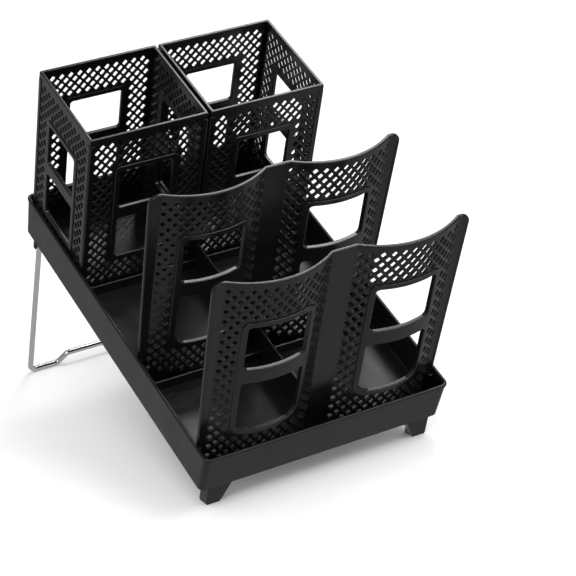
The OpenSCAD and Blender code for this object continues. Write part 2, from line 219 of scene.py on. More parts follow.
@dataclass(frozen=True)
class PlatedWire:
    """Bright plated steel wire with faint drawing marks."""

    name: str
    colour: tuple[float, float, float] = (0.9, 0.903, 0.91)

    def build(self) -> bpy.types.Material:
        """Builds the material and returns it."""
        sketch = NodeSketch(self.name)
        cloud = sketch.remap(sketch.noise(60.0, 3.0), 0.0, 1.0)
        dark = tuple(0.93 * c for c in self.colour)
        sketch.link(sketch.tint(cloud, dark, self.colour), sketch.shader.inputs["Base Color"])
        sketch.link(sketch.remap(sketch.noise(220.0, 4.0), 0.07, 0.15), sketch.shader.inputs["Roughness"])
        sketch.shader.inputs["Metallic"].default_value = 1.0
        sketch.bump(sketch.noise(900.0, 2.0), 0.00002, 0.12)
        return sketch.material


@dataclass(frozen=True)
class FootRubber:
    """Matt black rubber."""

    name: str

    def build(self) -> bpy.types.Material:
        """Builds the material and returns it."""
        sketch = NodeSketch(self.name)
        cloud = sketch.remap(sketch.noise(90.0, 3.0), 0.0, 1.0)
        sketch.link(sketch.tint(cloud, (0.009, 0.009, 0.009), (0.018, 0.018, 0.018)), sketch.shader.inputs["Base Color"])
        sketch.link(sketch.remap(sketch.noise(300.0, 3.0), 0.7, 0.85), sketch.shader.inputs["Roughness"])
        sketch.bump(sketch.noise(1800.0, 3.0), 0.00006, 0.4)
        return sketch.material


@dataclass(frozen=True)
class StudioPaper:
    """Plain pale paper under the object."""

    name: str
    colour: float = 0.97

    def build(self) -> bpy.types.Material:
        """Builds the material and returns it."""
        sketch = NodeSketch(self.name)
        pale = (self.colour, self.colour, self.colour)
        soft = tuple(0.985 * c for c in pale)
        sketch.link(sketch.tint(sketch.remap(sketch.noise(2.0, 2.0), 0.0, 1.0), soft, pale), sketch.shader.inputs["Base Color"])
        sketch.shader.inputs["Roughness"].default_value = 0.9
        sketch.shader.inputs["Specular IOR Level"].default_value = 0.2
        return sketch.material


# ---------------------------------------------------------------- outlines and plain solids


def arc_points(centre: tuple[float, float], radius: float, start: float, end: float, steps: int) -> Loop:
    """Points along an arc.

    Args:
        centre: the arc's centre.
        radius: its radius.
        start: first angle in degrees.
        end: last angle in degrees.
        steps: number of chords.

    Returns:
        steps + 1 points.
    """
    angles = [math.radians(start + (end - start) * i / steps) for i in range(steps + 1)]
    return [(centre[0] + radius * math.cos(a), centre[1] + radius * math.sin(a)) for a in angles]


def rounded_rectangle(low: tuple[float, float], high: tuple[float, float], radii: tuple[float, float], steps: int = 6) -> Loop:
    """A rectangle with rounded corners, going round against the clock.

    Args:
        low: its lower left corner.
        high: its upper right corner.
        radii: radius of the two lower and of the two upper corners.
        steps: chords in a corner.

    Returns:
        The outline's points.
    """
    (x0, y0), (x1, y1) = low, high
    below, above = radii
    return [
        *arc_points((x0 + below, y0 + below), below, 180, 270, steps),
        *arc_points((x1 - below, y0 + below), below, 270, 360, steps),
        *arc_points((x1 - above, y1 - above), above, 0, 90, steps),
        *arc_points((x0 + above, y1 - above), above, 90, 180, steps),
    ]


def scratch_object(name: str, data: bpy.types.ID) -> bpy.types.Object:
    """Links a new working object that holds this data, and returns it."""
    obj = bpy.data.objects.new(name, data)
    bpy.context.scene.collection.objects.link(obj)
    return obj


def final_mesh(obj: bpy.types.Object) -> bpy.types.Mesh:
    """Evaluates an object with its modifiers, deletes it and returns the plain mesh."""
    bpy.context.view_layer.update()
    depsgraph = bpy.context.evaluated_depsgraph_get()
    mesh = bpy.data.meshes.new_from_object(obj.evaluated_get(depsgraph))
    bpy.data.objects.remove(obj)
    return mesh


def tidy_mesh(mesh: bpy.types.Mesh, distance: float = 0.0005) -> bpy.types.Mesh:
    """Merges doubles, closes the shell's normals outwards and returns the mesh."""
    work = bmesh.new()
    work.from_mesh(mesh)
    bmesh.ops.remove_doubles(work, verts=work.verts, dist=distance)
    bmesh.ops.recalc_face_normals(work, faces=work.faces)
    work.to_mesh(mesh)
    work.free()
    return mesh


def plate(loops: list[Loop], thickness: float, edge: float, steps: int = 2) -> bpy.types.Mesh:
    """A flat plate with rounded edges, lying in the XY plane around z = 0.

    Args:
        loops: the outline, then its holes.
        thickness: full thickness.
        edge: radius of its edges.
        steps: chords in a rounded edge.

    Returns:
        The closed mesh.
    """
    curve = bpy.data.curves.new("plate", "CURVE")
    curve.dimensions = "2D"
    curve.fill_mode = "BOTH"
    curve.extrude = thickness / 2 - edge
    curve.bevel_depth = edge
    curve.bevel_resolution = max(steps - 1, 0)
    curve.offset = -edge
    for loop in loops:
        spline = curve.splines.new("POLY")
        spline.points.add(len(loop) - 1)
        for point, (x, y) in zip(spline.points, loop):
            point.co = (x, y, 0.0, 1.0)
        spline.use_cyclic_u = True
    mesh = tidy_mesh(final_mesh(scratch_object("plate", curve)))
    bpy.data.curves.remove(curve)
    return mesh


def block(low: tuple[float, float, float], high: tuple[float, float, float], edge: float = 0.4) -> bpy.types.Mesh:
    """A box with rounded edges.

    Args:
        low: its lowest corner.
        high: its highest corner.
        edge: radius of its edges.

    Returns:
        The closed mesh.
    """
    (x0, y0, z0), (x1, y1, z1) = low, high
    radius = min(edge, 0.45 * (z1 - z0), 0.45 * (x1 - x0), 0.45 * (y1 - y0))
    mesh = plate([rounded_rectangle((x0, y0), (x1, y1), (1.2 * radius, 1.2 * radius), 3)], z1 - z0, radius)
    return moved(mesh, Matrix.Translation((0, 0, (z0 + z1) / 2)))


def moved(mesh: bpy.types.Mesh, matrix: Matrix) -> bpy.types.Mesh:
    """Moves a mesh, turning its faces back outwards where the matrix mirrors it."""
    mesh.transform(matrix)
    if matrix.determinant() < 0:
        mesh.flip_normals()
    return mesh


def copied(mesh: bpy.types.Mesh, matrix: Matrix) -> bpy.types.Mesh:
    """A moved copy of a mesh."""
    return moved(mesh.copy(), matrix)


def loft(rings: list[list[Vector]], closed: bool) -> bpy.types.Mesh:
    """A solid skinned over rings of equally many points.

    Args:
        rings: the rings, in order.
        closed: True where the last ring joins the first, False where both ends are capped.

    Returns:
        The closed mesh.
    """
    work = bmesh.new()
    rows = [[work.verts.new(p) for p in ring] for ring in rings]
    count = len(rows[0])
    pairs = list(zip(rows, rows[1:])) + ([(rows[-1], rows[0])] if closed else [])
    for below, above in pairs:
        for i in range(count):
            j = (i + 1) % count
            work.faces.new((below[i], below[j], above[j], above[i]))
    if not closed:
        work.faces.new(rows[0])
        work.faces.new(rows[-1])
    bmesh.ops.recalc_face_normals(work, faces=work.faces)
    mesh = bpy.data.meshes.new("loft")
    work.to_mesh(mesh)
    work.free()
    return mesh


def fused(parts: list[bpy.types.Mesh], cut: list[bpy.types.Mesh] | None = None) -> bpy.types.Mesh:
    """One closed shell around overlapping closed parts.

    Args:
        parts: the parts to join.
        cut: parts to take away at the end.

    Returns:
        The joined mesh.
    """
    base = scratch_object("fused", parts[0])
    helpers = []
    for operation, meshes in (("UNION", parts[1:]), ("DIFFERENCE", cut or [])):
        for mesh in meshes:
            helper = scratch_object("helper", mesh)
            helpers.append(helper)
            modifier = base.modifiers.new("join", "BOOLEAN")
            modifier.operation = operation
            modifier.solver = "MANIFOLD"
            modifier.object = helper
    mesh = final_mesh(base)
    for helper in helpers:
        bpy.data.objects.remove(helper)
    return mesh


def smoothed(mesh: bpy.types.Mesh, angle: float = 32.0) -> bpy.types.Mesh:
    """Shades a mesh smoothly with level flats, apart from edges sharper than an angle in degrees."""
    mesh.shade_smooth()
    mesh.set_sharp_from_angle(angle=math.radians(angle))
    obj = scratch_object("smoothed", mesh)
    even = obj.modifiers.new("level flats", "WEIGHTED_NORMAL")
    even.mode = "FACE_AREA"
    even.keep_sharp = True
    return final_mesh(obj)


UPRIGHT = Matrix.Rotation(math.radians(90), 4, "X")


# ---------------------------------------------------------------- geometry node trees


class TreeSketch:
    """A short hand for building one Geometry Nodes tree with named inputs."""

    def __init__(self, name: str) -> None:
        """Starts an empty tree with a geometry input and output."""
        self.tree = bpy.data.node_groups.new(name, "GeometryNodeTree")
        self.tree.interface.new_socket("Geometry", in_out="INPUT", socket_type="NodeSocketGeometry")
        self.tree.interface.new_socket("Geometry", in_out="OUTPUT", socket_type="NodeSocketGeometry")
        self.inputs = self.tree.nodes.new("NodeGroupInput")
        self.outputs = self.tree.nodes.new("NodeGroupOutput")

    def input(self, name: str, kind: str) -> bpy.types.NodeSocket:
        """Adds a named input.

        Args:
            name: the input's name.
            kind: its socket type, such as Float.

        Returns:
            The socket that gives its value inside the tree.
        """
        self.tree.interface.new_socket(name, in_out="INPUT", socket_type=f"NodeSocket{kind}")
        return self.inputs.outputs[name]

    def add(self, kind: str, **settings: object) -> bpy.types.Node:
        """Adds one node and sets its properties.

        Args:
            kind: the node's type name.
            settings: properties of the node, by name.

        Returns:
            The new node.
        """
        node = self.tree.nodes.new(kind)
        for key, value in settings.items():
            setattr(node, key, value)
        return node

    def link(self, source: bpy.types.NodeSocket, target: bpy.types.NodeSocket) -> None:
        """Joins an output socket to an input socket."""
        self.tree.links.new(source, target)

    def value(self, operation: str, *terms: object) -> bpy.types.NodeSocket:
        """Adds a math node.

        Args:
            operation: its operation.
            terms: sockets or numbers.

        Returns:
            The result's socket.
        """
        node = self.add("ShaderNodeMath", operation=operation)
        for target, term in zip(node.inputs, terms):
            if isinstance(term, (int, float)):
                target.default_value = term
            else:
                self.link(term, target)
        return node.outputs[0]

    def finish(self, geometry: bpy.types.NodeSocket, finish: bpy.types.NodeSocket) -> bpy.types.NodeTree:
        """Ends the tree in Realize Instances and Set Material.

        Args:
            geometry: what the tree made.
            finish: the material's socket.

        Returns:
            The whole tree.
        """
        realize = self.add("GeometryNodeRealizeInstances")
        self.link(geometry, realize.inputs["Geometry"])
        paint = self.add("GeometryNodeSetMaterial")
        self.link(realize.outputs["Geometry"], paint.inputs["Geometry"])
        self.link(finish, paint.inputs["Material"])
        self.link(paint.outputs["Geometry"], self.outputs.inputs["Geometry"])
        return self.tree


def apply_tree(obj: bpy.types.Object, tree: bpy.types.NodeTree, values: dict[str, object]) -> None:
    """Adds a tree to an object as a modifier and sets its inputs by their identifiers.

    Args:
        obj: the object.
        tree: the tree.
        values: input values, by the inputs' names.
    """
    modifier = obj.modifiers.new(tree.name, "NODES")
    modifier.node_group = tree
    for item in tree.interface.items_tree:
        if item.item_type == "SOCKET" and item.in_out == "INPUT" and item.name in values:
            modifier[item.identifier] = values[item.name]


def pierced_sheet_tree() -> bpy.types.NodeTree:
    """A tree that cuts staggered rows of holes through an upright sheet.

    Returns:
        The tree, whose inputs give the pattern's sizes in millimetres.
    """
    sketch = TreeSketch("pierced sheet")
    cutter = sketch.input("Cutter", "Object")
    columns = sketch.input("Columns", "Int")
    rows = sketch.input("Rows", "Int")
    first = sketch.input("Short Row First", "Int")
    across = sketch.input("Pitch Across", "Float")
    up = sketch.input("Pitch Up", "Float")
    top = sketch.input("Top Row", "Float")
    half = sketch.input("Plain Half Width", "Float")
    low = sketch.input("Plain From", "Float")
    high = sketch.input("Plain To", "Float")
    turn = sketch.input("Turn", "Float")
    offset = sketch.input("Offset", "Vector")
    finish = sketch.input("Finish", "Material")

    index = sketch.add("GeometryNodeInputIndex").outputs[0]
    row = sketch.value("FLOOR", sketch.value("DIVIDE", sketch.value("ADD", index, 0.5), columns))
    column = sketch.value("SUBTRACT", index, sketch.value("MULTIPLY", row, columns))
    short = sketch.value("MODULO", sketch.value("ADD", row, first), 2.0)
    middle = sketch.value("MULTIPLY", sketch.value("SUBTRACT", columns, 1.0), 0.5)
    step = sketch.value("ADD", sketch.value("SUBTRACT", column, middle), sketch.value("MULTIPLY", short, 0.5))
    x = sketch.value("MULTIPLY", step, across)
    z = sketch.value("SUBTRACT", top, sketch.value("MULTIPLY", row, sketch.value("MULTIPLY", up, 0.5)))
    position = sketch.add("ShaderNodeCombineXYZ")
    sketch.link(x, position.inputs["X"])
    sketch.link(z, position.inputs["Z"])

    points = sketch.add("GeometryNodePoints")
    sketch.link(sketch.value("MULTIPLY", columns, rows), points.inputs["Count"])
    sketch.link(position.outputs[0], points.inputs["Position"])

    place = sketch.add("GeometryNodeInputPosition").outputs[0]
    parts = sketch.add("ShaderNodeSeparateXYZ")
    sketch.link(place, parts.inputs[0])
    inside = sketch.value("LESS_THAN", sketch.value("ABSOLUTE", parts.outputs["X"]), half)
    above = sketch.value("GREATER_THAN", parts.outputs["Z"], low)
    below = sketch.value("LESS_THAN", parts.outputs["Z"], high)
    plain = sketch.value("MULTIPLY", inside, sketch.value("MULTIPLY", above, below))
    beyond = sketch.value(
        "GREATER_THAN",
        sketch.value("DIVIDE", parts.outputs["X"], across),
        sketch.value("ADD", middle, 0.25),
    )
    drop = sketch.add("GeometryNodeDeleteGeometry", domain="POINT")
    sketch.link(points.outputs[0], drop.inputs["Geometry"])
    sketch.link(sketch.value("MAXIMUM", plain, beyond), drop.inputs["Selection"])

    shape = sketch.add("GeometryNodeObjectInfo", transform_space="ORIGINAL")
    sketch.link(cutter, shape.inputs["Object"])
    instances = sketch.add("GeometryNodeInstanceOnPoints")
    sketch.link(drop.outputs[0], instances.inputs["Points"])
    sketch.link(shape.outputs["Geometry"], instances.inputs["Instance"])
    realize = sketch.add("GeometryNodeRealizeInstances")
    sketch.link(instances.outputs[0], realize.inputs[0])
    turned = sketch.add("ShaderNodeCombineXYZ")
    sketch.link(turn, turned.inputs["Z"])
    rotate = sketch.add("FunctionNodeEulerToRotation")
    sketch.link(turned.outputs[0], rotate.inputs[0])
    carry = sketch.add("GeometryNodeTransform")
    sketch.link(realize.outputs[0], carry.inputs["Geometry"])
    sketch.link(rotate.outputs[0], carry.inputs["Rotation"])
    sketch.link(offset, carry.inputs["Translation"])
    cut = sketch.add("GeometryNodeMeshBoolean", operation="DIFFERENCE", solver="MANIFOLD")
    sketch.link(sketch.inputs.outputs["Geometry"], cut.inputs["Mesh 1"])
    sketch.link(carry.outputs[0], cut.inputs["Mesh 2"])
    return sketch.finish(cut.outputs["Mesh"], finish)


def bent_wire_tree() -> bpy.types.NodeTree:
    """A tree that rounds the corners of a path and sweeps a round wire along it.

    Returns:
        The tree. A path point's radius gives its bend's radius.
    """
    sketch = TreeSketch("bent wire")
    radius = sketch.input("Wire Radius", "Float")
    sides = sketch.input("Sides", "Int")
    steps = sketch.input("Bend Steps", "Int")
    finish = sketch.input("Finish", "Material")
    fillet = sketch.add("GeometryNodeFilletCurve", mode="POLY")
    sketch.link(sketch.inputs.outputs["Geometry"], fillet.inputs["Curve"])
    sketch.link(steps, fillet.inputs["Count"])
    sketch.link(sketch.add("GeometryNodeInputRadius").outputs[0], fillet.inputs["Radius"])
    even = sketch.add("GeometryNodeSetCurveRadius")
    even.inputs["Radius"].default_value = 1.0
    sketch.link(fillet.outputs[0], even.inputs["Curve"])
    ring = sketch.add("GeometryNodeCurvePrimitiveCircle", mode="RADIUS")
    sketch.link(sides, ring.inputs["Resolution"])
    sketch.link(radius, ring.inputs["Radius"])
    sweep = sketch.add("GeometryNodeCurveToMesh")
    sweep.inputs["Fill Caps"].default_value = True
    sketch.link(even.outputs[0], sweep.inputs["Curve"])
    sketch.link(ring.outputs[0], sweep.inputs["Profile Curve"])
    return sketch.finish(sweep.outputs[0], finish)


# ---------------------------------------------------------------- the organizer


@dataclass(frozen=True)
class Stance:
    """How the tray's frame stands on the ground."""

    tilt: float = 24.4
    foot_height: float = 19.8
    foot_front: float = 5.4
    tray_length: float = 335.0
    hinge_inset: float = 21.5
    hinge_z: float = -4.4
    leg_lean: float = 2.06
    wire_radius: float = 2.4

    @property
    def ground(self) -> float:
        """Height of the ground in the tilted frame."""
        angle = math.radians(self.tilt)
        return self.foot_front * math.sin(angle) - self.foot_height * math.cos(angle)

    @property
    def hinge_y(self) -> float:
        """Place of the stand's hinge along the tray."""
        return self.tray_length - self.hinge_inset

    @property
    def leg_length(self) -> float:
        """Distance from the hinge to the middle of the wire on the ground."""
        angle, lean = math.radians(self.tilt), math.radians(self.leg_lean)
        height = self.hinge_y * math.sin(angle) + self.hinge_z * math.cos(angle) - self.ground
        return (height - self.wire_radius) / math.cos(angle + lean)

    def matrix(self) -> Matrix:
        """The move from the tray's frame in millimetres to the row frame in metres."""
        low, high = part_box("wire_stand")
        angle, lean = math.radians(self.tilt), math.radians(self.leg_lean)
        y = self.hinge_y + self.leg_length * math.sin(lean)
        z = self.hinge_z - self.leg_length * math.cos(lean)
        back = y * math.cos(angle) - z * math.sin(angle) + self.wire_radius
        shift = Matrix.Translation((0, high.y - back * MILLIMETRE, -self.ground * MILLIMETRE))
        return shift @ Matrix.Rotation(angle, 4, "X") @ Matrix.Scale(MILLIMETRE, 4)


@dataclass
class Workshop:
    """What every sub-assembly shares: where it stands, the trees and the finishes."""

    stance: Stance
    pierced: bpy.types.NodeTree
    wire: bpy.types.NodeTree
    plastics: dict[str, bpy.types.Material]
    plating: bpy.types.Material
    rubber: bpy.types.Material

    def deliver(self, name: str, mesh: bpy.types.Mesh, finish: bpy.types.Material, body: str, slot: str, nodes: list[str], angle: float = 32.0, placed: bool = False) -> bpy.types.Object:
        """Puts a finished mesh where it stands and ties it to its CAD body.

        Args:
            name: the piece's name.
            mesh: its mesh, in the tray's frame unless placed is True.
            finish: its material.
            body: the CAD body that it rides on.
            slot: the record's material slot; not used.
            nodes: CAD nodes that it stands for.
            angle: edges sharper than this stay sharp, in degrees.
            placed: True where the mesh is already in the row frame.

        Returns:
            The piece.
        """
        if not placed:
            mesh.transform(self.stance.matrix())
        mesh.materials.clear()
        mesh.materials.append(finish)
        for polygon in mesh.polygons:
            polygon.material_index = 0
        mesh = smoothed(mesh, angle)
        mesh.name = name
        obj = scratch_object(name, mesh)
        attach(obj, body)
        if nodes:
            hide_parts(*nodes)
        LOG.info("%s: %d faces on body %s", name, len(mesh.polygons), body)
        return obj

    def cutter(self, width: float, height: float, sheet: float, mouths: tuple[float, float], corner: float) -> bpy.types.Object:
        """A rounded diamond that cuts one hole with softened mouths.

        Args:
            width: the hole's width.
            height: the hole's height.
            sheet: thickness of the sheet.
            mouths: width of the chamfer at the outer and at the inner mouth.
            corner: radius of the hole's corners.

        Returns:
            A hidden working object.
        """
        past = 0.3
        outer, inner = mouths
        stations = (
            (-sheet / 2 - past, outer + past), (-sheet / 2 + outer, 0.0),
            (sheet / 2 - inner, 0.0), (sheet / 2 + past, inner + past),
        )
        rings = []
        for y, growth in stations:
            loop = self.diamond(width + 2.7 * growth, height + 2.7 * growth, corner + 0.6 * growth)
            rings.append([Vector((x, y, z)) for x, z in loop])
        obj = scratch_object("hole cutter", loft(rings, closed=False))
        obj.hide_render = True
        return obj

    @staticmethod
    def diamond(width: float, height: float, corner: float) -> Loop:
        """Outline of a diamond with rounded corners.

        Args:
            width: distance between its side corners, before rounding.
            height: distance between its upper and lower corners, before rounding.
            corner: radius of the corners.

        Returns:
            The outline's points, three for each corner.
        """
        a, b = width / 2, height / 2
        slant = math.hypot(a, b)
        points: Loop = []
        for spin, (tip, half_angle) in enumerate(((a, math.atan2(b, a)), (b, math.atan2(a, b))) * 2):
            back = corner / math.sin(half_angle)
            swing = 90 - math.degrees(half_angle)
            along = spin * 90
            angle = math.radians(along)
            centre = ((tip - back) * math.cos(angle), (tip - back) * math.sin(angle))
            points += arc_points(centre, corner, along - swing, along + swing, 2)
        assert slant > 2 * corner
        return points


@dataclass
class Tray:
    """The sloping tray with its lip, ribs, walls, feet and pin holders."""

    shop: Workshop
    width: float = 220.0
    length: float = 335.0
    height: float = 38.0
    wall: float = 2.0
    floor_top: float = 8.0
    floor_thickness: float = 2.4
    front_lean: float = 3.6
    side_lean: float = 0.4
    corner: float = 6.0
    lip_width: float = 2.9
    lip_height: float = 2.5
    overhang: float = 0.8
    rib_height: float = 9.5
    rib_thickness: float = 2.0
    centre_wall_top: float = 36.0
    front_divider_y: float = 21.8
    rear_divider_y: float = 124.8
    rear_rib_y: float = 108.0
    bin_rib_y: float = 227.6
    slide_gap: float = 0.4

    @property
    def inner_half(self) -> float:
        """Half the width between the side walls at the floor."""
        return self.width / 2 - self.overhang - self.side_lean - self.wall

    def ring(self, inset: float, z: float, lean: float = 1.0) -> list[Vector]:
        """One outline of the tray at a height.

        Args:
            inset: distance in from the lip's outer edge.
            z: the height.
            lean: 1 where the wall's lean counts, 0 on the lip.

        Returns:
            The outline's points.
        """
        drop = lean * max(0.0, 1 - z / (self.height - self.lip_height))
        front = inset + self.front_lean * drop
        side = inset + self.side_lean * drop
        half = self.width / 2 - side
        radius = max(self.corner - inset, 1.0)
        loop = rounded_rectangle((-half, front), (half, self.length - side), (radius, radius), 8)
        return [Vector((x, y, z)) for x, y in loop]

    def walls(self) -> bpy.types.Mesh:
        """The walls, skirt and rounded lip as one closed shell."""
        lip, over, wall, top = self.lip_width, self.overhang, self.wall, self.height
        under = top - self.lip_height
        soft = 0.5
        profile = [
            (over + soft, 0.0, 1), (over + 0.14, 0.14, 1), (over, soft, 1), (over, 0.5 * under, 1), (over, under, 1),
            (0.35, under, 0), (0.1, under + 0.1, 0), (0.0, under + 0.4, 0), (0.0, top - 1.1, 0), (0.1, top - 0.65, 0),
            (0.35, top - 0.3, 0), (0.75, top - 0.07, 0), (1.2, top, 0), (lip - 1.2, top, 0), (lip - 0.75, top - 0.07, 0),
            (lip - 0.35, top - 0.3, 0), (lip - 0.1, top - 0.65, 0), (lip, top - 1.1, 0), (lip, under + 0.2, 0),
            (over + wall, under - 0.2, 1), (over + wall, 0.5 * under, 1), (over + wall, soft, 1),
            (over + wall - 0.14, 0.14, 1), (over + wall - soft, 0.0, 1),
        ]
        return loft([self.ring(inset, z, lean) for inset, z, lean in profile], closed=True)

    def floor(self) -> bpy.types.Mesh:
        """The raised floor, with a small cove where it meets the walls."""
        inset = self.overhang + 0.6 * self.wall
        edge = self.overhang + self.wall
        bottom, top = self.floor_top - self.floor_thickness, self.floor_top
        plain = loft([self.ring(inset, bottom), self.ring(inset, top)], closed=False)
        rise = 1.6
        steps = [(edge + rise * (1 - math.sin(math.radians(a))), top + rise * (1 - math.cos(math.radians(a)))) for a in (0, 22, 45, 68, 90)]
        cove = [(inset, top - 0.6), (edge + rise, top - 0.6), *steps, (inset, top + rise)]
        return fused([plain, loft([self.ring(i, z) for i, z in cove], closed=True)])

    def ribs(self) -> list[bpy.types.Mesh]:
        """The two cross ribs, the centre wall and the guides for the dividers."""
        half, low = self.inner_half + 0.8, self.floor_top - 1
        thick, gap = self.rib_thickness, self.slide_gap + 1.2
        top = self.floor_top + self.rib_height
        parts = [block((-half, y, low), (half, y + thick, top), 0.5) for y in (self.rear_rib_y, self.bin_rib_y)]
        for start, end in ((self.front_divider_y + gap, self.rear_divider_y - gap), (self.rear_divider_y + gap, self.bin_rib_y + thick)):
            wall = plate([rounded_rectangle((start, low), (end, self.centre_wall_top), (1.0, 2.5), 4)], thick, 0.5)
            parts.append(moved(wall, Matrix.Rotation(math.radians(90), 4, "Z") @ UPRIGHT))
        for y in (self.front_divider_y, self.rear_divider_y):
            for start in (y - gap - 1.8, y + gap):
                for side in Side:
                    inner, outer = self.inner_half - 4.0, self.inner_half + 0.8
                    low_x, high_x = sorted((side.value * inner, side.value * outer))
                    parts.append(block((low_x, start, low), (high_x, start + 1.8, self.height - self.lip_height - 2), 0.4))
        return parts

    def foot(self) -> bpy.types.Mesh:
        """The right front foot, still longer than its cut at the ground."""
        outer, width, spread, fillet = 100.7, 12.0, 6.5, 5.0
        inner = outer - width
        height = self.shop.stance.foot_height
        slope = math.degrees(math.atan2(spread, height))
        arc = arc_points((inner - spread - fillet - 0.9, -fillet), fillet, 90, slope - 4, 6)
        outline = [(outer, -height - 12), (outer, self.floor_top - 1.5), (inner - spread - fillet - 0.9, self.floor_top - 1.5), *arc, (inner, -height), (inner, -height - 12)]
        bar = plate([outline[::-1]], 12.0, 0.7, 3)
        return moved(bar, Matrix.Translation((0, self.shop.stance.foot_front + 6.0, 0)) @ UPRIGHT)

    def pin_holder(self) -> list[bpy.types.Mesh]:
        """The right holder for the stand's pin, with its bore, and the stop behind the leg."""
        stance = self.shop.stance
        radius = stance.wire_radius + 2.4
        y, z = stance.hinge_y, stance.hinge_z
        top = self.floor_top - 1.5
        outline = [(y + radius, top), (y - radius, top), *arc_points((y, z), radius, 180, 360, 12)]
        bore = arc_points((y, z), stance.wire_radius + 0.2, 0, 360, 24)[:-1]
        holder = plate([outline, bore], 10.6, 0.5)
        turn = Matrix.Rotation(math.radians(90), 4, "Z") @ UPRIGHT
        stop_y = y + stance.wire_radius + math.tan(math.radians(stance.leg_lean)) * 5.6 + 0.15
        stop = block((90.0, stop_y, z - 5.6), (self.inner_half + 0.8, stop_y + 4.0, top), 0.5)
        return [moved(holder, Matrix.Translation((95.3, 0, 0)) @ turn), stop]

    def build(self) -> None:
        """Builds the tray and hands it in."""
        mirror = Matrix.Scale(-1, 4, (1, 0, 0))
        feet = [self.foot()]
        holders = self.pin_holder()
        feet.append(copied(feet[0], mirror))
        holders += [copied(mesh, mirror) for mesh in holders]
        angle = math.radians(self.shop.stance.tilt)
        stance = self.shop.stance
        turn = Matrix.Rotation(-angle, 4, "X")
        pad = 1.3
        ground = moved(block((-200, -200, stance.ground + pad - 60), (200, 200, stance.ground + pad), 0.01), turn)
        feet = [fused([foot], [ground.copy()]) for foot in feet]
        parts = [self.walls(), self.floor(), *self.ribs(), *feet, *holders]
        self.shop.deliver("tray_shell", fused(parts), self.shop.plastics["tray"], "base", "tray_plastic", ["tray"])


